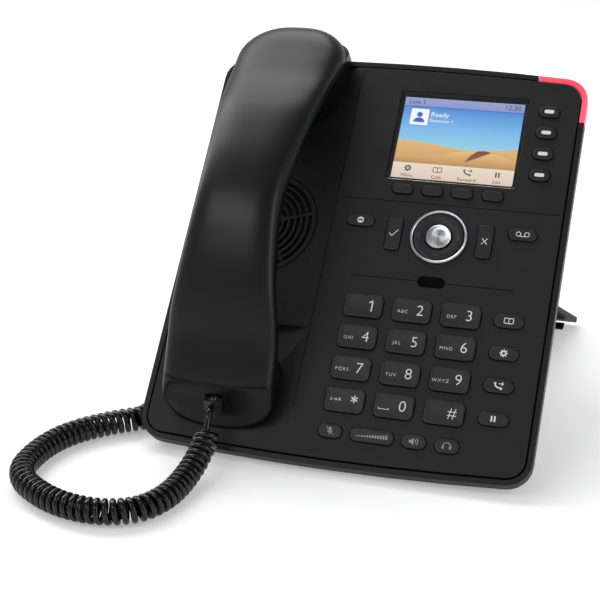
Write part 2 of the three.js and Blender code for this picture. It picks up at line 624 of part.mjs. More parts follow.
function cordPieces() {
  const glossy = material(BLACK, 0.2);
  return [
    piece("cord_lead_handset", tube(HANDSET_LEAD, WIRE_D, 8, 8), glossy),
    piece("curly_cord", tube(COIL_ROUTE, COIL_D, 10, 60), glossy),
    piece("cord_lead_base", tube(BASE_LEAD, WIRE_D, 8, 6), glossy),
  ];
}

function basePlug() {
  const mesh = piece("base_plug", geometryOf(plug()), material(METAL, 0.2));
  mesh.position.set(fromLeft(CORD_PORTS[0]), PORT_FACE - 2, PORT_Z);
  return mesh;
}

// ---- Assembly -----------------------------------------------------------------------------

const tilted = () => {
  const group = new THREE.Group();
  group.rotation.x = TILT;
  group.position.z = FACE_LIFT;
  return group;
};

const body = tilted();
body.add(frontCover(), rearCover(), indicatorLight(), ...displayPieces(), ...innerPieces(), ...jackPieces(),
  hookSwitch(), ...KEYS.map(keyPiece), ...rockerPieces(), handset());
const object = new THREE.Group();
object.add(body, standGroup(), ...feet());

const cord = new THREE.Group();
const plugSide = tilted();
plugSide.add(basePlug());
cord.add(plugSide, ...cordPieces());

// The origin is on the desk, in the middle of the box round everything but the cord.
const phone = new THREE.Group();
phone.add(object, cord);
object.updateMatrixWorld(true);
const extent = new THREE.Box3().setFromObject(object, true);
phone.position.y = -(extent.min.y + extent.max.y) / 2;
phone.position.z = -extent.min.z;

export default phone;
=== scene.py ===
import json
import math

import bmesh
import bpy
from mathutils import Euler, Matrix, Vector

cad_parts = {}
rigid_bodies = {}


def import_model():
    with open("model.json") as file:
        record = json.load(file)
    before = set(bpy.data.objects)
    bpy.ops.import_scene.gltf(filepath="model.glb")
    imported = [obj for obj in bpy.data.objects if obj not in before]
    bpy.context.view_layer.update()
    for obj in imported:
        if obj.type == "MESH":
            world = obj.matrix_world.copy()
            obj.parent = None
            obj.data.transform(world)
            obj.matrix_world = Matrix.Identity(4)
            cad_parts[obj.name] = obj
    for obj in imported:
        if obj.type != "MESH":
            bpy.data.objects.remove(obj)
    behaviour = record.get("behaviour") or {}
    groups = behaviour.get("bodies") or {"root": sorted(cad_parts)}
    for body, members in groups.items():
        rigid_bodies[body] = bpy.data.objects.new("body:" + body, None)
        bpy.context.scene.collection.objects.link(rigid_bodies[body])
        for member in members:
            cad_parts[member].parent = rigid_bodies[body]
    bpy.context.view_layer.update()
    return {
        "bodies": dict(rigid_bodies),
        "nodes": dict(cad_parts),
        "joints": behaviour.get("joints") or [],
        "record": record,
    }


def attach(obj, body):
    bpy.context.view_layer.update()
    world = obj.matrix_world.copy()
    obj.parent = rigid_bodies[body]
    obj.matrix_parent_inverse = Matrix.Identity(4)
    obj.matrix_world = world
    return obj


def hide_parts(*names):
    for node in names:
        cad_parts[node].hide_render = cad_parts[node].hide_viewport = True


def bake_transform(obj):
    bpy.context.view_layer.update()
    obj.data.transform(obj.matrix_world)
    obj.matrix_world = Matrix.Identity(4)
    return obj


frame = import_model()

# ---- The face's own axes, from the frame ----------------------------------------------------
# Most of the phone is laid out on its sloping face, in millimetres: u from the body's left edge,
# v up the face from its lower edge, h out of the face.

MM = 0.001
NAV_PIVOT = Vector((119.9, 110.3, -3))


def joint(name):
    return next(j for j in frame["joints"] if j["name"] == name)


ACROSS = Vector((1, 0, 0))
OUT = -Vector(joint("key_5_press")["axis"]).normalized()
UP = Vector((0, OUT.z, -OUT.y))


def face_matrix():
    turn = Matrix((ACROSS, UP, OUT)).transposed().to_4x4() @ Matrix.Scale(MM, 4)
    pivot = Vector(joint("nav_rocker_tilt")["pos_m"])
    return Matrix.Translation(pivot - (turn @ NAV_PIVOT)) @ turn


FACE = face_matrix()
TO_FACE = FACE.inverted()


def face_box(node):
    """A CAD node's lowest and highest corner in face coordinates."""
    points = [TO_FACE @ v.co for v in frame["nodes"][node].data.vertices]
    low = Vector([min(p[i] for p in points) for i in range(3)])
    high = Vector([max(p[i] for p in points) for i in range(3)])
    return low, high


# ---- Materials ------------------------------------------------------------------------------

def new_material(name):
    mat = bpy.data.materials.new(name)
    mat.use_nodes = True
    return mat, mat.node_tree, mat.node_tree.nodes["Principled BSDF"]


def noise(tree, scale, detail=2.0):
    """Noise in the object's own metres: scale is features per metre."""
    place = tree.nodes.new("ShaderNodeTexCoord")
    node = tree.nodes.new("ShaderNodeTexNoise")
    node.inputs["Scale"].default_value = scale
    node.inputs["Detail"].default_value = detail
    tree.links.new(place.outputs["Object"], node.inputs["Vector"])
    return node.outputs[0]


def ramp(tree, source, stops):
    node = tree.nodes.new("ShaderNodeValToRGB")
    elements = node.color_ramp.elements
    while len(elements) < len(stops):
        elements.new(0.5)
    for element, (at, color) in zip(elements, stops):
        element.position = at
        element.color = (*color, 1)
    tree.links.new(source, node.inputs[0])
    return node.outputs[0]


def remap(tree, source, low, high):
    node = tree.nodes.new("ShaderNodeMapRange")
    node.inputs["From Min"].default_value = 0.3
    node.inputs["From Max"].default_value = 0.7
    node.inputs["To Min"].default_value = low
    node.inputs["To Max"].default_value = high
    tree.links.new(source, node.inputs["Value"])
    return node.outputs[0]


GRAIN_DEPTH = 0.00012
GLOSS_SPREAD = 0.06
WORN_EDGE = 0.00035


def surface(name, color, rough, grain=1500, bump=0.1, vary=0.18, metallic=0.0, specular=0.5,
            worn=False):
    """A moulded or finished surface: fine grain in its relief, cloudy change of tone and gloss.
    A worn one has its hard edges rubbed round."""
    mat, tree, shader = new_material(name)
    cloud = noise(tree, 45, 3)
    dark = [c * (1 - vary) for c in color]
    light = [c * (1 + vary) for c in color]
    tree.links.new(ramp(tree, cloud, [(0.35, dark), (0.65, light)]), shader.inputs["Base Color"])
    fine = noise(tree, grain, 2)
    gloss = remap(tree, fine, rough - GLOSS_SPREAD, min(1, rough + GLOSS_SPREAD))
    tree.links.new(gloss, shader.inputs["Roughness"])
    relief = tree.nodes.new("ShaderNodeBump")
    relief.inputs["Strength"].default_value = bump
    relief.inputs["Distance"].default_value = GRAIN_DEPTH
    tree.links.new(fine, relief.inputs["Height"])
    tree.links.new(relief.outputs[0], shader.inputs["Normal"])
    if worn:
        edge = tree.nodes.new("ShaderNodeBevel")
        edge.samples = 4
        edge.inputs["Radius"].default_value = WORN_EDGE
        tree.links.new(edge.outputs[0], relief.inputs["Normal"])
    shader.inputs["Metallic"].default_value = metallic
    shader.inputs["Specular IOR Level"].default_value = specular
    return mat


def spun_metal():
    """Metal turned on a lathe: fine rings about the piece's own z axis."""
    mat = surface("spun_metal", (0.62, 0.63, 0.65), 0.3, 2600, 0.05, 0.04, 1.0)
    tree = mat.node_tree
    shader = next(n for n in tree.nodes if n.type == "BSDF_PRINCIPLED")
    shader.inputs["Anisotropic"].default_value = 0.9
    tangent = tree.nodes.new("ShaderNodeTangent")
    tangent.direction_type = "RADIAL"
    tangent.axis = "Z"
    tree.links.new(tangent.outputs[0], shader.inputs["Tangent"])
    return mat


def lit(name, stops, along=None, span=(0, 1), strength=1.0):
    """A glow for the display: its colour runs over a span of a direction, or is cloudy without one."""
    mat, tree, shader = new_material(name)
    if along is None:
        source = noise(tree, 120, 1)
    else:
        place = tree.nodes.new("ShaderNodeTexCoord")
        dot = tree.nodes.new("ShaderNodeVectorMath")
        dot.operation = "DOT_PRODUCT"
        dot.inputs[1].default_value = along
        tree.links.new(place.outputs["Object"], dot.inputs[0])
        scaled = tree.nodes.new("ShaderNodeMapRange")
        scaled.inputs["From Min"].default_value = span[0]
        scaled.inputs["From Max"].default_value = span[1]
        tree.links.new(dot.outputs["Value"], scaled.inputs["Value"])
        source = scaled.outputs[0]
    color = ramp(tree, source, stops)
    tree.links.new(color, shader.inputs["Emission Color"])
    shader.inputs["Emission Strength"].default_value = strength
    shader.inputs["Base Color"].default_value = (0.01, 0.01, 0.01, 1)
    shader.inputs["Roughness"].default_value = 0.5
    return mat


def clear_glass():
    mat, tree, shader = new_material("window_glass")
    shader.inputs["Base Color"].default_value = (0.98, 0.99, 1, 1)
    shader.inputs["Transmission Weight"].default_value = 1
    shader.inputs["IOR"].default_value = 1.25
    tree.links.new(remap(tree, noise(tree, 60, 2), 0.0, 0.03), shader.inputs["Roughness"])
    return mat


def red_lens():
    mat, tree, shader = new_material("red_lens")
    glow = ramp(tree, noise(tree, 70, 2), [(0.35, (0.8, 0.06, 0.1)), (0.65, (0.9, 0.085, 0.135))])
    tree.links.new(glow, shader.inputs["Base Color"])
    tree.links.new(glow, shader.inputs["Emission Color"])
    shader.inputs["Emission Strength"].default_value = 0.62
    shader.inputs["Roughness"].default_value = 0.3
    shader.inputs["Specular IOR Level"].default_value = 0.3
    return mat


MATERIALS = {
    "cover_plastic": surface("cover_plastic", (0.0085, 0.0085, 0.0092), 0.5, 1700, 0.5,
                             specular=0.28, worn=True),
    "case_plastic": surface("case_plastic", (0.0065, 0.0065, 0.007), 0.46, 1500, 0.4,
                            specular=0.28, worn=True),
    "handset_satin": surface("handset_satin", (0.0028, 0.0028, 0.0031), 0.34, 2400, 0.1, specular=0.3),
    "handset_gloss": surface("handset_gloss", (0.003, 0.003, 0.0033), 0.3, 2200, 0.05, specular=0.2),
    "key_plastic": surface("key_plastic", (0.0125, 0.0125, 0.0135), 0.42, 1900, 0.2, specular=0.35),
    "satin_trim": surface("satin_trim", (0.6, 0.61, 0.63), 0.32, 2600, 0.08, 0.05, 1.0),
    "red_lens": red_lens(),
    "window": clear_glass(),
    "display": surface("display", (0.004, 0.004, 0.005), 0.4, 900, 0.05),
    "circuit_board": surface("circuit_board", (0.015, 0.11, 0.04), 0.4, 900, 0.2),
    "membrane": surface("membrane", (0.2, 0.2, 0.21), 0.7, 900, 0.2),
    "transducer_metal": surface("transducer_metal", (0.02, 0.02, 0.022), 0.5, 1400, 0.15),
    "jack_shield": surface("jack_shield", (0.5, 0.51, 0.53), 0.3, 1600, 0.1, metallic=1.0),
    "jack_plastic": surface("jack_plastic", (0.006, 0.006, 0.0065), 0.4, 1600, 0.1, specular=0.25),
    "plug_clear": surface("plug_clear", (0.018, 0.0185, 0.02), 0.2, 2000, 0.05, specular=0.4),
    "foot_rubber": surface("foot_rubber", (0.005, 0.005, 0.005), 0.8, 1300, 0.5, specular=0.15),
    "cord_jacket": surface("cord_jacket", (0.002, 0.002, 0.0022), 0.17, 2400, 0.03, specular=0.4),
    "legend": surface("legend", (0.72, 0.73, 0.74), 0.45, 1800, 0.05, 0.04),
    "grey_legend": surface("grey_legend", (0.3, 0.305, 0.31), 0.45, 1800, 0.05, 0.04),
    "dim_legend": surface("dim_legend", (0.06, 0.061, 0.063), 0.45, 1800, 0.05, 0.04),
    # Near black and barely glossy: painted shade, laid flat where grooves, slots, holes and the thumb
    # recess would lie in shadow.
    "painted_groove_shade": surface("painted_groove_shade", (0.0015, 0.0015, 0.0015), 0.7, 1500, 0.1, specular=0.05),
    "screw_steel": surface("screw_steel", (0.12, 0.12, 0.13), 0.35, 1500, 0.1, metallic=1.0),
    "spun_metal": spun_metal(),
}


def dress_cad_nodes():
    for entry in frame["record"]["subparts"]:
        materials = frame["nodes"][entry["node"]].data.materials
        materials.clear()
        materials.append(MATERIALS[entry["material_slot"]])


dress_cad_nodes()

# ---- Mesh helpers ---------------------------------------------------------------------------

def new_object(name, data):
    obj = bpy.data.objects.new(name, data)
    bpy.context.scene.collection.objects.link(obj)
    return obj


def finish_piece(name, bm, material, body, matrix=FACE, sharp=35, replaces=()):
    """Makes the mesh a named object, in face millimetres unless a matrix says otherwise."""
    bmesh.ops.remove_doubles(bm, verts=bm.verts, dist=1e-5)
    bmesh.ops.recalc_face_normals(bm, faces=bm.faces)
    bm.transform(matrix)
    mesh = bpy.data.meshes.new(name)
    bm.to_mesh(mesh)
    bm.free()
    mesh.polygons.foreach_set("use_smooth", [True] * len(mesh.polygons))
    mesh.set_sharp_from_angle(angle=math.radians(sharp))
    mesh.materials.append(MATERIALS.get(material) if isinstance(material, str) else material)
    obj = new_object(name, mesh)
    if body:
        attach(obj, body)
    if replaces:
        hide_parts(*replaces)
    return obj


def rounded(width, height, radius, inset=0.0, steps=6):
    """A round-cornered outline about the origin, as a list of points."""
    w, h = width / 2 - inset, height / 2 - inset
    r = max(0.05, min(radius - inset, w - 0.01, h - 0.01))
    points = []
    corners = [(w - r, h - r), (r - w, h - r), (r - w, r - h), (w - r, r - h)]
    for quarter, (cx, cy) in enumerate(corners):
        for i in range(steps + 1):
            angle = (quarter + i / steps) * math.pi / 2
            points.append((cx + r * math.cos(angle), cy + r * math.sin(angle)))
    return points


def join_loops(bm, loops, followers):
    """Faces between each loop of vertices and the one that follows it."""
    count = len(loops[0])
    for a, b in zip(loops, followers):
        for i in range(count):
            j = (i + 1) % count
            bm.faces.new((a[i], a[j], b[j], b[i]))


def skin(bm, rings):
    """Joins rings of equal length into one surface and caps both ends."""
    loops = [[bm.verts.new(p) for p in ring] for ring in rings]
    join_loops(bm, loops, loops[1:])
    bm.faces.new(list(reversed(loops[0])))
    bm.faces.new(loops[-1])


def closed_skin(bm, rings):
    """Joins rings of equal length into one surface, the last one back to the first."""
    loops = [[bm.verts.new(p) for p in ring] for ring in rings]
    join_loops(bm, loops, loops[1:] + loops[:1])


def prism(bm, points, low, high):
    skin(bm, [[(x, y, z) for x, y in points] for z in (low, high)])


def moved(points, x, y):
    return [(px + x, py + y) for px, py in points]


def rectangle(x0, y0, x1, y1):
    return [(x0, y0), (x1, y0), (x1, y1), (x0, y1)]


def circle(x, y, radius, steps=24):
    return [(x + radius * math.cos(2 * math.pi * i / steps),
             y + radius * math.sin(2 * math.pi * i / steps)) for i in range(steps)]


def ribbon(bm, points, width, low, high):
    """A flat stroke along a polyline, a thin bar to each stretch."""
    for (x0, y0), (x1, y1) in zip(points, points[1:]):
        length = math.hypot(x1 - x0, y1 - y0)
        nx, ny = -(y1 - y0) / length * width / 2, (x1 - x0) / length * width / 2
        bar = [(x0 + nx, y0 + ny), (x0 - nx, y0 - ny), (x1 - nx, y1 - ny), (x1 + nx, y1 + ny)]
        prism(bm, bar, low, high)


def annulus(bm, x, y, radius, width, low, high, start=0.0, end=360.0, steps=20):
    """Part of a flat ring."""
    angles = [math.radians(start + (end - start) * i / steps) for i in range(steps + 1)]
    outer = [(x + radius * math.cos(t), y + radius * math.sin(t)) for t in angles]
    inner = [(x + (radius - width) * math.cos(t), y + (radius - width) * math.sin(t)) for t in angles]
    for i in range(steps):
        prism(bm, [outer[i], outer[i + 1], inner[i + 1], inner[i]], low, high)


def lettering(bm, text, x, y, size, low, high, align="CENTER", thin=0.0, spread=1.0):
    """Raised letters of one line, in face millimetres."""
    curve = bpy.data.curves.new("letters", "FONT")
    curve.body = text
    curve.size = size
    curve.align_x = align
    curve.align_y = "CENTER"
    curve.extrude = (high - low) / 2
    curve.offset = -thin
    curve.space_character = spread
    curve.resolution_u = 3
    holder = new_object("letters", curve)
    bpy.context.view_layer.update()
    flat = bpy.data.meshes.new_from_object(holder)
    flat.transform(Matrix.Translation((x, y, (low + high) / 2)))
    bm.from_mesh(flat)
    bpy.data.objects.remove(holder)
    bpy.data.curves.remove(curve)
    bpy.data.meshes.remove(flat)


# ---- Camera ---------------------------------------------------------------------------------

CAMERA_AT = (0.1564, -0.6518, 0.3100)
CAMERA_AZIMUTH = 16.9
CAMERA_ELEVATION = 21.7
CAMERA_ROLL = -0.18
CAMERA_LENS = 89.2


def add_camera():
    data = bpy.data.cameras.new("camera")
    data.lens = CAMERA_LENS
    data.sensor_width = 36
    data.clip_start = 0.01
    camera = new_object("camera", data)
    aim = Euler((math.radians(90 - CAMERA_ELEVATION), 0, math.radians(CAMERA_AZIMUTH))).to_matrix()
    camera.matrix_world = Matrix.Translation(CAMERA_AT) @ aim.to_4x4() @ Matrix.Rotation(
        math.radians(CAMERA_ROLL), 4, "Z")
    bpy.context.scene.camera = camera


add_camera()

# ---- Cord -----------------------------------------------------------------------------------
# The route is from the body's left edge, behind the face's lower edge, and above the desk.

ROUTE_ORIGIN = Vector((-0.0885, -0.09991, 0))
HANDSET_LEAD = [
    (0.0368, -0.0008, 0.0256), (0.0369, -0.0035, 0.0251), (0.0370, -0.0059, 0.0233),
    (0.0371, -0.0075, 0.0210), (0.0372, -0.0089, 0.0186),
]
COIL_ROUTE = [
    (0.0372, -0.0091, 0.0182), (0.0375, -0.0109, 0.0156), (0.0374, -0.0146, 0.0129),
    (0.0368, -0.0205, 0.0098), (0.0358, -0.0285, 0.0071), (0.0346, -0.0397, 0.0059),
    (0.0326, -0.0497, 0.0059), (0.0284, -0.0583, 0.0059), (0.0222, -0.0636, 0.0059),
    (0.0135, -0.0668, 0.0059), (0.0035, -0.0673, 0.0059), (-0.0079, -0.0650, 0.0059),
    (-0.0191, -0.0598, 0.0059), (-0.0289, -0.0525, 0.0059), (-0.0342, -0.0442, 0.0059),
    (-0.0359, -0.0356, 0.0059), (-0.0352, -0.0232, 0.0059), (-0.0321, -0.0119, 0.0059),
    (-0.0264, -0.0021, 0.0059), (-0.0188, 0.0063, 0.0059), (-0.0120, 0.0123, 0.0059),
    (-0.0048, 0.0178, 0.0059), (-0.0024, 0.0240, 0.0059), (0.0010, 0.0300, 0.0059),
    (0.0070, 0.0345, 0.0059), (0.0150, 0.0366, 0.0059), (0.0250, 0.0366, 0.0059),
    (0.0340, 0.0356, 0.0059), (0.0410, 0.0354, 0.0062), (0.0456, 0.0374, 0.0088),
    (0.0470, 0.0406, 0.0136), (0.0470, 0.0430, 0.0200), (0.0470, 0.0468, 0.0276),
    (0.0470, 0.0526, 0.0350),
]
BASE_LEAD = [
    (0.0470, 0.0528, 0.0352), (0.0470, 0.0546, 0.0376), (0.0470, 0.0562, 0.0404),
    (0.0470, 0.0576, 0.0434), (0.0470, 0.0590, 0.0454),
]
WIRE_D = 0.0028
COIL_D = 0.0115
COIL_PITCH = 0.0034
TURN_POINTS = 18
RAMP = 0.0015                    # the wire leaves and joins the coil's axis over this length
LEAD_STEP = 0.0015
SPLINE_STEPS = 20
SPLIT_AT = 4                     # the route's point where the coil comes down on the desk


def spline(points, step):
    """Points every step along a smooth curve through the given ones, and where each one falls."""
    padded_route = [2 * points[0] - points[1], *points, 2 * points[-1] - points[-2]]
    fine, marks = [], [0.0]
    length = 0.0
    for p0, p1, p2, p3 in zip(padded_route, padded_route[1:], padded_route[2:], padded_route[3:]):
        for i in range(SPLINE_STEPS):
            t = i / SPLINE_STEPS
            fine.append(0.5 * (2 * p1 + (p2 - p0) * t + (2 * p0 - 5 * p1 + 4 * p2 - p3) * t ** 2
                               + (3 * p1 - p0 - 3 * p2 + p3) * t ** 3))
        stretch = fine[-SPLINE_STEPS:] + [p2]
        length += sum((b - a).length for a, b in zip(stretch, stretch[1:]))
        marks.append(length)
    fine.append(points[-1].copy())
    count = max(2, round(length / step))
    walked, i, out = 0.0, 0, [fine[0]]
    for n in range(1, count):
        target = length * n / count
        while walked + (fine[i + 1] - fine[i]).length < target:
            walked += (fine[i + 1] - fine[i]).length
            i += 1
        gap = (fine[i + 1] - fine[i]).length
        out.append(fine[i].lerp(fine[i + 1], (target - walked) / gap))
    out.append(fine[-1])
    return out, marks


def carried_frames(points):
    """A side direction at each point, carried along the line without twist."""
    tangents = [(points[min(i + 1, len(points) - 1)] - points[max(i - 1, 0)]).normalized()
                for i in range(len(points))]
    side = tangents[0].orthogonal().normalized()
    frames = []
    for tangent in tangents:
        side = (side - tangent * side.dot(tangent)).normalized()
        frames.append((side, tangent.cross(side)))
    return frames


def coil_line():
    """The wire's centreline from the handset on, and the index where the coil meets the desk."""
    leads = [[ROUTE_ORIGIN + Vector(p) for p in route] for route in (HANDSET_LEAD, BASE_LEAD)]
    route = [ROUTE_ORIGIN + Vector(p) for p in COIL_ROUTE]
    axis, marks = spline(route, COIL_PITCH / TURN_POINTS)
    frames = carried_frames(axis)
    total = marks[-1]
    radius = (COIL_D - WIRE_D) / 2
    helix = []
    for i, (centre, (side, other)) in enumerate(zip(axis, frames)):
        along = total * i / (len(axis) - 1)
        edge = min(1, along / RAMP, (total - along) / RAMP)
        swell = radius * edge * edge * (3 - 2 * edge)
        angle = 2 * math.pi * along / COIL_PITCH
        helix.append(centre + swell * (math.cos(angle) * side + math.sin(angle) * other))
    before = spline(leads[0], LEAD_STEP)[0]
    after = spline(leads[1], LEAD_STEP)[0]
    split = len(before) + round(marks[SPLIT_AT] / total * (len(axis) - 1))
    return before + helix + after, split


def tube(name, line, diameter, sides=10):
    bm = bmesh.new()
    rings = []
    for centre, (side, other) in zip(line, carried_frames(line)):
        rings.append([centre + diameter / 2 * (math.cos(2 * math.pi * k / sides) * side
                                               + math.sin(2 * math.pi * k / sides) * other)
                      for k in range(sides)])
    skin(bm, rings)
    return finish_piece(name, bm, "cord_jacket", None, Matrix.Identity(4), 50)


# ---- Plugs ----------------------------------------------------------------------------------

def plug_piece(name, node, body):
    """The plug's CAD solid again with its hard edges rounded."""
    block = bmesh.new()
    block.from_mesh(frame["nodes"][node].data)
    sharp = [e for e in block.edges if e.is_manifold and e.calc_face_angle(0) > math.radians(60)]
    bmesh.ops.bevel(block, geom=sharp, offset=0.0003, segments=2, affect="EDGES", profile=0.6,
                    clamp_overlap=True)
    return finish_piece(name, block, "plug_clear", body, Matrix.Identity(4), 30,
                        (node,))


def add_cord():
    line, split = coil_line()
    upper, lower = line[:split + 1], line[split:]
    handset_plug = plug_piece("handset_plug_body", "handset_plug", "handset")
    base_plug = plug_piece("base_plug_body", "base_plug", "base")
    lifted = tube("curly_cord_upper", upper, WIRE_D)
    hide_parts("cord_lead_handset")
    resting = tube("curly_cord_main", lower, WIRE_D)
    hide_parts("curly_cord", "cord_lead_base")
    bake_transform(lifted)
    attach(resting, "base")


add_cord()

# ---- Keys -----------------------------------------------------------------------------------

LEGEND_T = 0.05                  # how far lettering stands on a key
EDGE_R = 0.4                     # the soft edge round a key's top
STROKE = 0.34                    # the usual line width of an icon
DIAL_RADIUS, DIAL_DISH = 2.4, 0.12
FLAT_DISH = 0.02
DIALS = {
    "key_1": ("1", ""), "key_2": ("2", "ABC"), "key_3": ("3", "DEF"), "key_4": ("4", "GHI"),
    "key_5": ("5", "JKL"), "key_6": ("6", "MNO"), "key_7": ("7", "PQRS"), "key_8": ("8", "TUV"),
    "key_9": ("9", "WXYZ"), "key_star": ("*", "a-A"), "key_0": ("0", ""), "key_hash": ("#", ""),
}


def key_cap(node, radius, dish):
    """A key with a soft edge and a faintly dished top, in the place of its CAD solid. Returns the
    middle of its top."""
    low, high = face_box(node)
    width, height = high.x - low.x, high.y - low.y
    top = high.z - LEGEND_T
    rings = []
    levels = [(0.0, low.z), (0.0, top - EDGE_R)]
    for i in range(1, 5):
        angle = math.pi / 2 * i / 4
        levels.append((EDGE_R * (1 - math.cos(angle)), top - EDGE_R * (1 - math.sin(angle))))
    levels += [(EDGE_R + 0.6, top - 0.4 * dish), (EDGE_R + 1.4, top - dish)]
    x, y = (low.x + high.x) / 2, (low.y + high.y) / 2
    bm = bmesh.new()
    for inset, z in levels:
        if inset < min(width, height) / 2 - 0.3:
            rings.append([(px + x, py + y, z) for px, py in rounded(width, height, radius, inset)])
    skin(bm, rings)
    finish_piece(node + "_cap", bm, "key_plastic", node, replaces=(node,))
    return x, y, high.z


def icon_dnd(bm, low, high):
    for start in (14, 194):
        arc = [(1.55 * math.cos(math.radians(start + 152 * i / 12)),
                1.55 * math.sin(math.radians(start + 152 * i / 12))) for i in range(13)]
        prism(bm, arc, low, high)
    for side in (-1, 1):
        inner, outer = sorted((side * 1.05, side * 1.5))
        prism(bm, rectangle(inner, -0.4, outer, 0.4), low, high)


def icon_check(bm, low, high):
    ribbon(bm, [(-2, 0), (-0.7, -1.5), (1.9, 1.8)], STROKE, low, high)


def icon_cross(bm, low, high):
    ribbon(bm, [(-1.3, -1.5), (1.3, 1.5)], STROKE, low, high)
    ribbon(bm, [(-1.3, 1.5), (1.3, -1.5)], STROKE, low, high)


def icon_tape(bm, low, high):
    for x in (-1.9, 1.9):
        annulus(bm, x, 0.1, 1.2, 0.32, low, high)
    ribbon(bm, [(-1.9, -0.94), (1.9, -0.94)], 0.32, low, high)


def icon_book(bm, low, high):
    for side in (-1, 1):
        page = [(0, -1.2), (side * 2, -1), (side * 2, 1.4), (0, 1.2), (0, -1.2)]
        ribbon(bm, page, STROKE, low, high)


def icon_gear(bm, low, high):
    annulus(bm, 0, 0, 1.25, 0.6, low, high)
    for i in range(8):
        c, s = math.cos(math.pi * i / 4), math.sin(math.pi * i / 4)
        ribbon(bm, [(1.1 * c, 1.1 * s), (1.8 * c, 1.8 * s)], 0.5, low, high)


def handset_glyph(bm, low, high):
    annulus(bm, 0.5, 1.3, 2.5, 0.6, low, high, 195, 285, 10)
    ribbon(bm, [(-1.9, 0.7), (-1.2, 1.4)], 0.8, low, high)
    ribbon(bm, [(1, -1.6), (1.7, -0.9)], 0.8, low, high)


def icon_transfer(bm, low, high):
    handset_glyph(bm, low, high)
    ribbon(bm, [(0, 1), (2, 1)], STROKE, low, high)
    ribbon(bm, [(1.3, 1.7), (2.1, 1), (1.3, 0.3)], STROKE, low, high)


def icon_pause(bm, low, high):
    for x in (-0.7, 0.7):
        ribbon(bm, [(x, -1.3), (x, 1.3)], 0.7, low, high)


def icon_mute(bm, low, high):
    prism(bm, moved(rounded(1.1, 2.2, 0.54), 0, 0.6), low, high)
    annulus(bm, 0, 0.2, 1.15, 0.3, low, high, 180, 360, 12)
    ribbon(bm, [(0, -0.9), (0, -1.7)], 0.3, low, high)
    ribbon(bm, [(-1.7, 1.7), (1.7, -1.7)], STROKE, low, high)


def icon_volume(bm, low, high):
    for i in range(12):
        x = -6.6 + 1.2 * i
        ribbon(bm, [(x, -0.9), (x, -0.55 + 0.14 * i)], 0.75, low, high)


def icon_speaker(bm, low, high):
    prism(bm, [(-2, -0.6), (-1.2, -0.6), (0, -1.6), (0, 1.6), (-1.2, 0.6), (-2, 0.6)], low, high)
    for radius in (1.3, 2.2):
        annulus(bm, -0.2, 0, radius, 0.32, low, high, -45, 45, 8)


def icon_headset(bm, low, high):
    annulus(bm, 0, -0.2, 1.8, STROKE, low, high, 0, 180, 14)
    for x in (-1.6, 1.6):
        ribbon(bm, [(x, -1.4), (x, -0.1)], 0.8, low, high)


def icon_lamp(bm, low, high):
    prism(bm, rounded(4.4, 1.8, 0.7), low, high)


ICONS = {
    "dnd_key": icon_dnd, "ok_key": icon_check, "cancel_key": icon_cross, "voicemail_key": icon_tape,
    "directory_key": icon_book, "settings_key": icon_gear, "transfer_key": icon_transfer,
    "hold_key": icon_pause, "mute_key": icon_mute, "volume_rocker": icon_volume,
    "speaker_key": icon_speaker, "headset_key": icon_headset,
    **{f"line_key_{n}": icon_lamp for n in range(1, 5)},
}


def legend_piece(node, x, y, top, draw, material="legend"):
    bm = bmesh.new()
    draw(bm, -LEGEND_T, -0.001)
    bmesh.ops.translate(bm, verts=bm.verts, vec=(x, y, top))
    finish_piece(node + "_legend", bm, material, node)


def flagged_one(bm, x, y, low, high):
    ribbon(bm, [(x - 1.2, y + 1.5), (x + 0.3, y + 2.5), (x + 0.3, y - 2.6)], 0.6, low, high)


def six_arms(bm, x, y, low, high):
    for i in range(3):
        angle = math.pi * (i / 3 + 0.5)
        c, s = 1.7 * math.cos(angle), 1.7 * math.sin(angle)
        ribbon(bm, [(x - c, y - s), (x + c, y + s)], 0.5, low, high)


def dial_legend(digit, letters):
    def draw(bm, low, high):
        if digit == "1":
            flagged_one(bm, 3.8, 0, low, high)
        elif digit == "*":
            six_arms(bm, 4.4, 0.8, low, high)
            lettering(bm, "a", -5.9, 0, 2.4, low, high, thin=0.02)
            lettering(bm, "A", -2.1, 0, 2.4, low, high, thin=0.02)
            ribbon(bm, [(-4.8, -0.1), (-3.4, -0.1)], 0.24, low, high)
            ribbon(bm, [(-3.9, 0.4), (-3.3, -0.1), (-3.9, -0.6)], 0.24, low, high)
        else:
            lettering(bm, digit, 3.6 if digit == "#" else 3.9, 0, 7.2, low, high, thin=0.09)
        if letters and digit != "*":
            lettering(bm, letters, -3.9, -0.9, 2.25, low, high, thin=0.03, spread=1.25)
        if digit == "0":
            ribbon(bm, [(-6.6, -1.2), (-6.6, -1.9), (-2, -1.9), (-2, -1.2)], 0.26, low, high)
    return draw


def add_keys():
    for node, (digit, letters) in DIALS.items():
        x, y, top = key_cap(node, DIAL_RADIUS, DIAL_DISH)
        legend_piece(node, x, y, top, dial_legend(digit, letters))
    others = [b for b in frame["bodies"] if b in frame["nodes"] and b not in DIALS
              and b not in ("hook_switch", "nav_rocker", "nav_centre_key")]
    for node in others:
        low, high = face_box(node)
        tall = node in ("ok_key", "cancel_key")
        radius = 1.6 if tall else (high.y - low.y) / 2 - 0.1
        x, y, top = key_cap(node, radius, FLAT_DISH)
        if node in ICONS:
            faint = node in ("mute_key", "volume_rocker", "speaker_key", "headset_key")
            legend_piece(node, x, y, top, ICONS[node], "grey_legend" if faint else "legend")


add_keys()


def turned(bm, profile, x, y, steps=72):
    """A profile of (radius, height) turned about the face's normal. The first and last close it."""
    closed_skin(bm, [[(px, py, z) for px, py in circle(x, y, r, steps)] for r, z in profile])


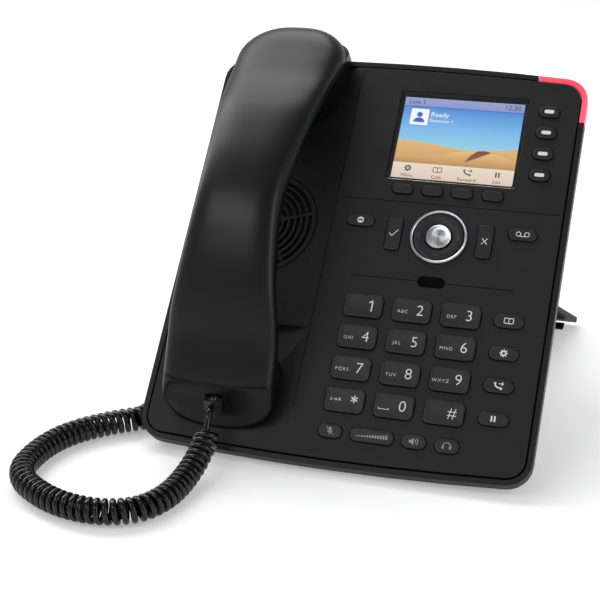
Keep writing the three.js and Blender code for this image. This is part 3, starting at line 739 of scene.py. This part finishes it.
# Profiles as (radius, height) about the navigation rocker's middle.
TRIM_PROFILE = [(11.95, -2), (13.2, -2), (13.2, 0.8), (13.05, 1.2), (12.75, 1.45), (12.3, 1.4),
                (11.95, 1.1)]
ROCKER_PROFILE = [(6.3, -3), (11.5, -3), (11.5, 0.75), (11.3, 1.05), (10.9, 1.15), (8.6, 0.9),
                  (6.7, 0.55), (6.4, 0.4), (6.3, 0.2)]
BUTTON_PROFILE = [(5.9, -3), (5.9, 0.9), (5.75, 1.25), (5.4, 1.45), (5.0, 1.4), (4.6, 1.25),
                  (3, 1.18), (1.2, 1.15), (0.3, 1.145)]


def add_navigation():
    x, y = NAV_PIVOT.x, NAV_PIVOT.y
    ring = bmesh.new()
    turned(ring, TRIM_PROFILE, x, y)
    finish_piece("nav_trim_ring_turned", ring, "satin_trim", "base",
                 replaces=("nav_trim_ring",))
    rocker = bmesh.new()
    turned(rocker, ROCKER_PROFILE, x, y)
    finish_piece("nav_rocker_disc", rocker, "key_plastic", "nav_rocker",
                 replaces=("nav_rocker",))
    marks = bmesh.new()
    for i in range(4):
        c, s = round(math.cos(math.pi * i / 2)), round(math.sin(math.pi * i / 2))
        tip, back, half = 9.7, 8.7, 1.1
        arrow = [(back * c - half * s, back * s + half * c), (tip * c, tip * s),
                 (back * c + half * s, back * s - half * c)]
        ribbon(marks, moved(arrow, x, y), 0.36, 0.7, 1.12)
    finish_piece("nav_rocker_arrows", marks, "dim_legend", "nav_rocker")
    button = bmesh.new()
    skin(button, [[(px, py, z) for px, py in circle(0, 0, r, 72)] for r, z in BUTTON_PROFILE])
    cap = finish_piece("nav_centre_button", button, "spun_metal", None,
                       Matrix.Scale(MM, 4), replaces=("nav_centre_key",))
    cap.matrix_world = FACE @ Matrix.Translation((x, y, 0)) @ Matrix.Scale(1 / MM, 4)
    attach(cap, "nav_centre_key")


add_navigation()

# ---- Display --------------------------------------------------------------------------------

SCREEN_LOW = Vector((91.64, 139.85))
SCREEN_W, SCREEN_H = 57.0, 43.26
PANEL_TOP = -2.66
LAYER = 0.03                     # the step from one painted layer of the screen to the next
FILM = 0.02                      # a layer's own thickness
BAR_TOP = 8.4                    # the soft-key bar's upper edge
STATUS_LOW = 38.7                # the status bar's lower edge
COLUMN, COLUMN_STEP = 7.4, 14.05  # the first soft key's middle, and the step to the next
PERSON = (8.2, 33)               # the middle of the person glyph's field


def screen_span(low, high):
    """Positions up the display, in mm, as values of the display materials' own coordinate."""
    return tuple((FACE @ Vector((0, SCREEN_LOW.y + v, PANEL_TOP))).dot(UP) for v in (low, high))


def screen_patch(name, points, layer, material):
    bm = bmesh.new()
    low = PANEL_TOP + LAYER * layer
    prism(bm, moved(points, SCREEN_LOW.x, SCREEN_LOW.y), low, low + FILM)
    finish_piece(name, bm, material, "base")


def screen_text(name, rows, layer, material):
    bm = bmesh.new()
    low = PANEL_TOP + LAYER * layer
    for text, x, y, size, align in rows:
        lettering(bm, text, SCREEN_LOW.x + x, SCREEN_LOW.y + y, size, low, low + FILM, align)
    finish_piece(name, bm, material, "base")


def wave(x0, x1, height, rise, turns, phase, steps=28):
    """A dune's crest over a flat foot."""
    crest = []
    for i in range(steps + 1):
        t = i / steps
        crest.append((x0 + (x1 - x0) * t, height + rise * math.sin(phase + 2 * math.pi * turns * t)))
    return [(x1, BAR_TOP), *reversed(crest), (x0, BAR_TOP)]


def add_landscape():
    """The wallpaper: plain dunes under a plain sky."""
    sky = lit("sky_glow", [(0, (0.32, 0.66, 0.8)), (0.5, (0.2, 0.5, 0.86)), (1, (0.085, 0.28, 0.68))],
              UP, screen_span(17, 38), 0.95)
    far_sand = lit("far_sand_glow", [(0, (0.62, 0.36, 0.13)), (1, (0.8, 0.5, 0.2))],
                   UP, screen_span(10, 20), 0.95)
    near_sand = lit("near_sand_glow", [(0, (0.5, 0.27, 0.09)), (1, (0.84, 0.52, 0.2))],
                    UP, screen_span(8, 16), 0.95)
    shade = lit("dune_shade_glow", [(0, (0.3, 0.12, 0.05)), (1, (0.22, 0.07, 0.035))],
                UP, screen_span(9, 17), 0.9)
    screen_patch("screen_sky", rectangle(0, 0, SCREEN_W, SCREEN_H), 0, sky)
    screen_patch("screen_far_dune", wave(0, SCREEN_W, 18.6, 1.5, 0.9, 1.2), 1, far_sand)
    screen_patch("screen_near_dune", wave(0, SCREEN_W, 14.6, 2.4, 1.0, 3.6), 2, near_sand)
    screen_patch("screen_dune_shade", [(33, 10.5), (45, 16.6), (42, 17.4), (38.5, 17), (35.5, 14.4)],
                 3, shade)


def add_softkey_icons(ink):
    glyphs = bmesh.new()
    low = PANEL_TOP + 6 * LAYER
    for column, draw in enumerate([icon_gear, icon_book, icon_transfer, icon_pause]):
        part = bmesh.new()
        draw(part, low, low + FILM)
        bmesh.ops.translate(part, verts=part.verts,
                            vec=(SCREEN_LOW.x + COLUMN + COLUMN_STEP * column, SCREEN_LOW.y + 5.5, 0))
        holder = bpy.data.meshes.new("glyph")
        part.to_mesh(holder)
        part.free()
        glyphs.from_mesh(holder)
        bpy.data.meshes.remove(holder)
    finish_piece("screen_softkey_icons", glyphs, ink, "base")


def add_person(blue, white):
    """A head and shoulders on a plain field."""
    person = bmesh.new()
    px, py = SCREEN_LOW.x + PERSON[0], SCREEN_LOW.y + PERSON[1]
    low = PANEL_TOP + 4 * LAYER
    prism(person, circle(px, py + 1.2, 1.35, 24), low, low + FILM)
    angles = [math.pi * i / 16 for i in range(17)]
    bust = [(px + 2.7 * math.cos(t), py - 2.9 + 2.5 * math.sin(t)) for t in angles]
    prism(person, bust, low, low + FILM)
    finish_piece("screen_person_glyph", person, blue, "base")
    screen_patch("screen_person_field", moved(rounded(8.6, 8.6, 0.6), *PERSON), 3, white)


def add_display():
    add_landscape()
    pale = lit("bar_glow", [(0, (0.78, 0.62, 0.5)), (1, (0.86, 0.74, 0.6))],
               UP, screen_span(0, BAR_TOP), 0.95)
    status = lit("status_glow", [(0, (0.26, 0.31, 0.62)), (1, (0.34, 0.38, 0.64))],
                 UP, screen_span(38.6, 43.2), 0.95)
    white = lit("white_glow", [(0.3, (0.86, 0.88, 0.9)), (0.7, (0.95, 0.96, 0.97))])
    ink = lit("ink_glow", [(0.3, (0.02, 0.022, 0.04)), (0.7, (0.03, 0.034, 0.055))])
    blue = lit("line_glow", [(0.3, (0.03, 0.1, 0.46)), (0.7, (0.045, 0.14, 0.55))])
    screen_patch("screen_status_bar", rectangle(0, STATUS_LOW, SCREEN_W, SCREEN_H), 1, status)
    screen_patch("screen_status_line", rectangle(0, 38.3, SCREEN_W, STATUS_LOW), 2, blue)
    screen_patch("screen_softkey_bar", rectangle(0, 0, SCREEN_W, BAR_TOP), 4, pale)
    screen_text("screen_status_text", [
        ("12:30", 55.5, 40.9, 3.6, "RIGHT"), ("Line 1", 1.8, 40.9, 3.4, "LEFT")], 3, ink)
    screen_text("screen_softkey_labels", [
        ("Menu", COLUMN, 1.7, 2.5, "CENTER"), ("Calls", 21.4, 1.7, 2.5, "CENTER"),
        ("Forward", 35.6, 1.7, 2.5, "CENTER"), ("Info", 49.6, 1.7, 2.5, "CENTER")], 6, ink)
    screen_text("screen_line_text", [
        ("Ready", 13.4, 34.6, 3.6, "LEFT"), ("Extension 1", 13.4, 31.4, 2.4, "LEFT")], 3, white)
    add_softkey_icons(ink)
    add_person(blue, white)


add_display()

# ---- Face details ---------------------------------------------------------------------------

CRADLE_LEFT, CRADLE_RIGHT, CRADLE_DEPTH = 3.6, 69.0, 3.0
GRILLE = (35.9, 111)
GRILLE_INNER, GRILLE_OUTER = 25.3, 25.9


def painted_shade_strip(name, points, high=0.04):
    """A line in the face, drawn as a thin strip of painted shade laid on it in place of a groove's
    depth.
    """
    bm = bmesh.new()
    prism(bm, points, 0.005, high)
    finish_piece(name, bm, "painted_groove_shade", "base")


def add_face_details():
    # Each crease, slot and line below is a flat strip of painted shade, not a cut.
    painted_shade_strip("display_crease", rectangle(70.6, 126.55, 172.4, 126.8))
    painted_shade_strip("middle_slot", rectangle(82.7, 87.8, 157, 88.15))
    # The thumb recess has no depth: it is only a flat oval of painted shade.
    painted_shade_strip("thumb_recess", moved(rounded(12.7, 5.4, 2.6, steps=10), 120.2, 88), 0.05)
    painted_shade_strip("cradle_line", rectangle(CRADLE_RIGHT, 22.5, 69.3, 194))


def cradle_height(u):
    """The floor of the cradle's trough, across the face."""
    t = (u - CRADLE_LEFT) / (CRADLE_RIGHT - CRADLE_LEFT)
    return -4 * CRADLE_DEPTH * t * (1 - t)


def add_grille_groove():
    """A fine ring of painted shade round the speaker grille, standing for a groove, on the trough's
    curved floor.
    """
    section = [(GRILLE_INNER, 0.01), (GRILLE_INNER, 0.05),
               (GRILLE_OUTER, 0.05), (GRILLE_OUTER, 0.01)]
    bm = bmesh.new()
    closed_skin(bm, [[(x, y, cradle_height(x) + lift) for x, y in circle(*GRILLE, radius, 96)]
                     for radius, lift in section])
    finish_piece("grille_groove", bm, "painted_groove_shade", "base")


add_grille_groove()
add_face_details()

# ---- Handset --------------------------------------------------------------------------------
# Stations up the face: v, half-width, height of the side seam, height of the crown.

HANDSET_U = 36.8
STATIONS = [
    (8, 26, 1, 1.2), (12, 26.1, 3.5, 7), (17, 26.1, 7, 12.4), (22, 26, 10, 18.4),
    (28, 25.8, 12.8, 21.4), (40, 25.5, 18.4, 26), (50, 24.7, 24.8, 32), (60, 23.2, 30.2, 37.4),
    (70, 22, 34, 41), (80, 21, 36.8, 43.6), (92, 20, 39.6, 46), (105, 19.7, 40.6, 47),
    (120, 20.3, 39.2, 45.8), (135, 21.4, 36.4, 43), (150, 22.8, 32.6, 39.2), (162, 24, 27.6, 34.6),
    (175, 25, 21.6, 28.8), (188, 26, 15.6, 24), (200, 26.4, 10, 19.4), (207, 26.4, 6.2, 14.5),
    (212, 26.4, 3.4, 7.5),
]
TIP, TOP = 8.0, 212.0
NECK = 9                         # how deep the arch is below its side seam
TIP_ROUND, TOP_ROUND = (13, 2.4), (24, 2)    # length and power of each end's rounding
CUP_FLOOR = 0.4
SHELL_GAP = 0.35
SHELL_T = 1.6


def station(v):
    """Half-width, seam and crown at v, on a smooth curve through the stations."""
    last = len(STATIONS) - 1
    i = max(0, min(last - 1, sum(s[0] <= v for s in STATIONS) - 1))
    a, b = STATIONS[i], STATIONS[i + 1]
    before, after = STATIONS[max(0, i - 1)], STATIONS[min(last, i + 2)]
    span = b[0] - a[0]
    t = (v - a[0]) / span
    out = []
    for k in (1, 2, 3):
        slope_a = (b[k] - before[k]) / (b[0] - before[0]) * span
        slope_b = (after[k] - a[k]) / (after[0] - a[0]) * span
        out.append((2 * t ** 3 - 3 * t ** 2 + 1) * a[k] + (t ** 3 - 2 * t ** 2 + t) * slope_a
                   + (3 * t ** 2 - 2 * t ** 3) * b[k] + (t ** 3 - t ** 2) * slope_b)
    return out


def end_round(distance, length, power):
    return max(0, 1 - max(0, 1 - distance / length) ** power) ** (1 / power)


def handset_point(angle, v, inset):
    half, seam, crown = station(v)
    width = (max(0, half - inset) * end_round(v - TIP - inset, *TIP_ROUND)
             * end_round(TOP - inset - v, *TOP_ROUND))
    c, s = math.cos(angle), math.sin(angle)
    across = math.copysign(abs(c) ** 0.62, c)
    up = math.copysign(abs(s) ** (0.8 if s > 0 else 0.6), s)
    pinch = min(1, width / 8)
    rise = max(0, crown - seam - inset) if s > 0 else NECK - inset
    return Vector((HANDSET_U + width * across, v, max(CUP_FLOOR + 0.2, seam + pinch * rise * up)))


OUTER_START, OUTER_REACH = 28.5, 6.3


def outer_edge(angle):
    """Where the outer shell starts: nearer the front in the middle than at its corners."""
    return OUTER_START - OUTER_REACH * max(0, math.sin(angle)) ** 0.8


def add_outer_shell():
    slices, stacks = 56, 130
    bm = bmesh.new()
    grids = []
    for inset in (0.0, SHELL_T):
        grid = []
        for b in range(stacks + 1):
            row = []
            for a in range(slices + 1):
                angle = math.pi * a / slices
                start, end = outer_edge(angle), TOP - 0.02 - inset
                v = start + (end - start) * math.sin(math.pi / 2 * b / stacks)
                point = handset_point(angle, v, inset)
                if inset:
                    point.z = min(point.z, handset_point(angle, v, 0).z - 0.2)
                point.z += SHELL_GAP / 2 if a in (0, slices) and not inset else 0
                row.append(bm.verts.new(point))
            grid.append(row)
        grids.append(grid)
    outer, inner = grids
    for b in range(stacks):
        for a in range(slices):
            bm.faces.new((outer[b][a], outer[b][a + 1], outer[b + 1][a + 1], outer[b + 1][a]))
            bm.faces.new((inner[b][a], inner[b + 1][a], inner[b + 1][a + 1], inner[b][a + 1]))
    for b in range(stacks):
        bm.faces.new((outer[b][0], outer[b + 1][0], inner[b + 1][0], inner[b][0]))
        bm.faces.new((outer[b][slices], inner[b][slices], inner[b + 1][slices], outer[b + 1][slices]))
    for a in range(slices):
        bm.faces.new((outer[0][a], inner[0][a], inner[0][a + 1], outer[0][a + 1]))
        bm.faces.new((outer[stacks][a], outer[stacks][a + 1], inner[stacks][a + 1], inner[stacks][a]))
    finish_piece("handset_outer_shell_lofted", bm, "handset_satin", "handset",
                 sharp=50, replaces=("handset_outer_shell",))


add_outer_shell()


def bezier(start, control_a, control_b, end, steps=10):
    out = []
    for i in range(steps):
        t = i / steps
        weights = ((1 - t) ** 3, 3 * t * (1 - t) ** 2, 3 * t * t * (1 - t), t ** 3)
        out.append(tuple(sum(w * p[k] for w, p in zip(weights, (start, control_a, control_b, end)))
                         for k in (0, 1)))
    return out


CUP_HALF = 26


def mouth_outline(inset):
    w = CUP_HALF - inset
    return [*bezier((-w, 24), (-w, 15 + inset), (-18 + inset, 9.6 + inset), (0, 8.2 + inset)),
            *bezier((0, 8.2 + inset), (18 - inset, 9.6 + inset), (w, 15 + inset), (w, 24)),
            *bezier((w, 32), (w, 44 - inset), (14, 47 - inset), (0, 47 - inset)),
            *bezier((0, 47 - inset), (-14, 47 - inset), (-w, 44 - inset), (-w, 32)), (-w, 32)]


def ear_outline(inset):
    w = CUP_HALF - inset
    return [(-w, 196), *bezier((-w, 186), (-w, 168 + inset), (-14, 159.5 + inset), (0, 159.5 + inset)),
            *bezier((0, 159.5 + inset), (14, 159.5 + inset), (w, 168 + inset), (w, 186)),
            *bezier((w, 196), (w, 204 - inset), (16, 208.4 - inset), (0, 208.4 - inset)),
            *bezier((0, 208.4 - inset), (-16, 208.4 - inset), (-w, 204 - inset), (-w, 196))]


def add_cup(bm, outline):
    """One of the two cups that hang below the arch: round below, its top hidden in the arch."""
    levels = [(0.8, 0.0), (0.35, 0.12), (0.1, 0.35), (0.0, 0.8)]
    rings = [[(HANDSET_U + x, v, CUP_FLOOR + lift) for x, v in outline(inset)]
             for inset, lift in levels]
    rings.append([(HANDSET_U + x, v, max(CUP_FLOOR + 1, station(v)[1] - 1)) for x, v in outline(0)])
    skin(bm, rings)


def add_core(bm):
    """The arch below the side seam, the mouth end's front, and the part inside the outer shell."""
    around, front_rows, rows = 96, 30, 130
    rings = []
    for b in range(front_rows + rows + 1):
        ring = []
        for a in range(around):
            angle = 2 * math.pi * a / around
            upper = 0 < angle < math.pi
            edge = (outer_edge(angle) if upper else OUTER_START) - 0.3
            if b <= front_rows:
                v = edge + (TIP + 0.01 - edge) * math.cos(math.pi / 2 * b / front_rows)
                inset = 0
            else:
                inset = SHELL_T + 0.25 if upper else 0
                v = edge + (TOP - 0.01 - inset - edge) * math.sin(math.pi / 2 * (b - front_rows) / rows)
            ring.append(handset_point(angle, v, inset))
        rings.append(ring)
    skin(bm, rings)


SOCKET_V, SOCKET_H, SOCKET_SLOPE = 16.1, 11.4, 41
SOCKET_HALF = (4.2, 3.6)
SOCKET_DEPTH, SOCKET_INNER = 22, 14
RECEIVER_V = 178
VOXEL = 0.0006


def socket_cutter():
    bm = bmesh.new()
    bmesh.ops.create_cube(bm, size=1)
    slope = Matrix.Rotation(math.radians(-SOCKET_SLOPE), 4, "X")
    size = Matrix.Diagonal((2 * SOCKET_HALF[0], SOCKET_DEPTH, 2 * SOCKET_HALF[1], 1))
    bm.transform(FACE @ Matrix.Translation((HANDSET_U, SOCKET_V, SOCKET_H)) @ slope
                 @ Matrix.Translation((0, SOCKET_INNER - SOCKET_DEPTH / 2, 0)) @ size)
    mesh = bpy.data.meshes.new("socket_cutter")
    bm.to_mesh(mesh)
    bm.free()
    return new_object("socket_cutter", mesh)


def baked(obj):
    """The object's mesh with its modifiers applied for good."""
    bpy.context.view_layer.update()
    mesh = bpy.data.meshes.new_from_object(obj.evaluated_get(bpy.context.evaluated_depsgraph_get()))
    obj.modifiers.clear()
    old = obj.data
    obj.data = mesh
    bpy.data.meshes.remove(old)


def add_inner_shell():
    bm = bmesh.new()
    add_core(bm)
    add_cup(bm, mouth_outline)
    add_cup(bm, ear_outline)
    levels = [(14.2, -1.9), (14.8, -1.7), (15, -1.2), (15, 3)]
    skin(bm, [[(px, py, z) for px, py in circle(HANDSET_U, RECEIVER_V, r, 64)] for r, z in levels])
    shell = finish_piece("handset_inner_shell_moulded", bm, "handset_gloss", None)
    fuse = shell.modifiers.new("fuse", "REMESH")
    fuse.mode = "VOXEL"
    fuse.voxel_size = VOXEL
    fuse.use_smooth_shade = True
    soft = shell.modifiers.new("soft", "SMOOTH")
    soft.factor = 0.5
    soft.iterations = 4
    baked(shell)
    cutter = socket_cutter()
    cut = shell.modifiers.new("socket", "BOOLEAN")
    cut.operation = "DIFFERENCE"
    cut.solver = "EXACT"
    cut.object = cutter
    baked(shell)
    bpy.data.objects.remove(cutter)
    mesh = shell.data
    mesh.polygons.foreach_set("use_smooth", [True] * len(mesh.polygons))
    mesh.set_sharp_from_angle(angle=math.radians(50))
    mesh.materials.clear()
    mesh.materials.append(MATERIALS["handset_gloss"])
    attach(shell, "handset")
    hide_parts("handset_inner_shell")


add_inner_shell()


def add_handset_holes():
    """The receiver's ring of holes and the microphone's slot, on the undersides of the cups, in painted
    shade.
    """
    bm = bmesh.new()
    for count, radius in ((1, 0), (6, 3.2), (12, 6.4)):
        for i in range(count):
            angle = 2 * math.pi * i / count
            hole = circle(HANDSET_U + radius * math.cos(angle), RECEIVER_V + radius * math.sin(angle),
                          0.7, 14)
            prism(bm, hole, -1.99, -1.8)
    finish_piece("receiver_holes", bm, "painted_groove_shade", "handset")
    bm = bmesh.new()
    prism(bm, moved(rounded(4, 1, 0.45), HANDSET_U, 24), CUP_FLOOR - 0.08, CUP_FLOOR + 0.2)
    finish_piece("microphone_slot", bm, "painted_groove_shade", "handset")


add_handset_holes()

# ---- Back and underside ---------------------------------------------------------------------

REAR_FACE = -24
SCREWS = [(16, 186), (161, 186), (16, 80), (161, 80)]
EDGE_ROUND = 0.0004


def screw(name, u, v):
    """A round-headed screw with a cross recess, its head sunk against the rear face."""
    bm = bmesh.new()
    levels = [(2.4, 0.6), (2.4, -0.15), (2.1, -0.35), (1.2, -0.45)]
    skin(bm, [[(px, py, REAR_FACE + z) for px, py in circle(u, v, r, 28)] for r, z in levels])
    for width, height in ((2.4, 0.5), (0.5, 2.4)):
        prism(bm, moved(rounded(width, height, 0.1), u, v), REAR_FACE - 0.5, REAR_FACE - 0.44)
    finish_piece(name, bm, "screw_steel", "base")


def add_back():
    for index, (u, v) in enumerate(SCREWS):
        screw(f"rear_screw_{index + 1}", u, v)


add_back()


def soften(node, width, angle=50):
    """A small round along a CAD solid's edges, which its mesh itself doesn't have."""
    modifier = frame["nodes"][node].modifiers.new("soft_edges", "BEVEL")
    modifier.width = width
    modifier.segments = 2
    modifier.limit_method = "ANGLE"
    modifier.angle_limit = math.radians(angle)
    modifier.use_clamp_overlap = True


for softened in ("stand", "front_foot", "stand_foot", "hook_switch"):
    soften(softened, EDGE_ROUND)

# ---- Room -----------------------------------------------------------------------------------

FLOOR_SIZE, FLOOR_GLOW, ROOM_STRENGTH = 6, 0.3, 0.8
# Each light: its name, where it is, what it faces, its two sides in metres and its watts.
LIGHTS = [
    ("top_soft", (-0.45, 0.6, 1.15), (0, 0, 0.05), (1.1, 0.8), 9),
    ("front_soft", (-0.45, -0.8, 1.05), (-0.02, -0.05, 0.05), (0.6, 0.3), 2.6),
    ("left_strip", (-1.0, 0.35, 0.75), (-0.05, 0, 0.12), (0.35, 1.1), 5),
    ("right_strip", (0.9, -0.35, 0.6), (-0.03, 0, 0.1), (0.2, 0.9), 2.6),
]


def add_floor():
    bm = bmesh.new()
    bmesh.ops.create_grid(bm, x_segments=2, y_segments=2, size=FLOOR_SIZE)
    mesh = bpy.data.meshes.new("floor")
    bm.to_mesh(mesh)
    bm.free()
    paper = surface("floor_paper", (0.86, 0.86, 0.865), 0.7, 300, 0.02, 0.01, specular=0.2)
    shader = next(n for n in paper.node_tree.nodes if n.type == "BSDF_PRINCIPLED")
    shader.inputs["Emission Color"].default_value = (1, 1, 1, 1)
    shader.inputs["Emission Strength"].default_value = FLOOR_GLOW
    mesh.materials.append(paper)
    new_object("floor", mesh)


def add_light(name, at, towards, size, energy):
    data = bpy.data.lights.new(name, "AREA")
    data.shape = "RECTANGLE"
    data.size, data.size_y = size
    data.energy = energy
    lamp = new_object(name, data)
    aim = (Vector(towards) - Vector(at)).to_track_quat("-Z", "Y").to_matrix().to_4x4()
    lamp.matrix_world = Matrix.Translation(at) @ aim


def add_world():
    """A plain studio: bright round the horizon, dimmer overhead."""
    world = bpy.data.worlds.new("room")
    world.use_nodes = True
    tree = world.node_tree
    place = tree.nodes.new("ShaderNodeTexCoord")
    split = tree.nodes.new("ShaderNodeSeparateXYZ")
    tree.links.new(place.outputs["Generated"], split.inputs[0])
    stops = [(0.0, (1, 1, 1)), (0.25, (0.75, 0.75, 0.76)), (0.8, (0.3, 0.3, 0.31))]
    shades = ramp(tree, split.outputs["Z"], stops)
    tree.links.new(shades, tree.nodes["Background"].inputs["Color"])
    tree.nodes["Background"].inputs["Strength"].default_value = ROOM_STRENGTH
    bpy.context.scene.world = world


def add_room():
    bpy.context.scene.view_settings.view_transform = "Standard"
    add_world()
    add_floor()
    for light in LIGHTS:
        add_light(*light)


add_room()
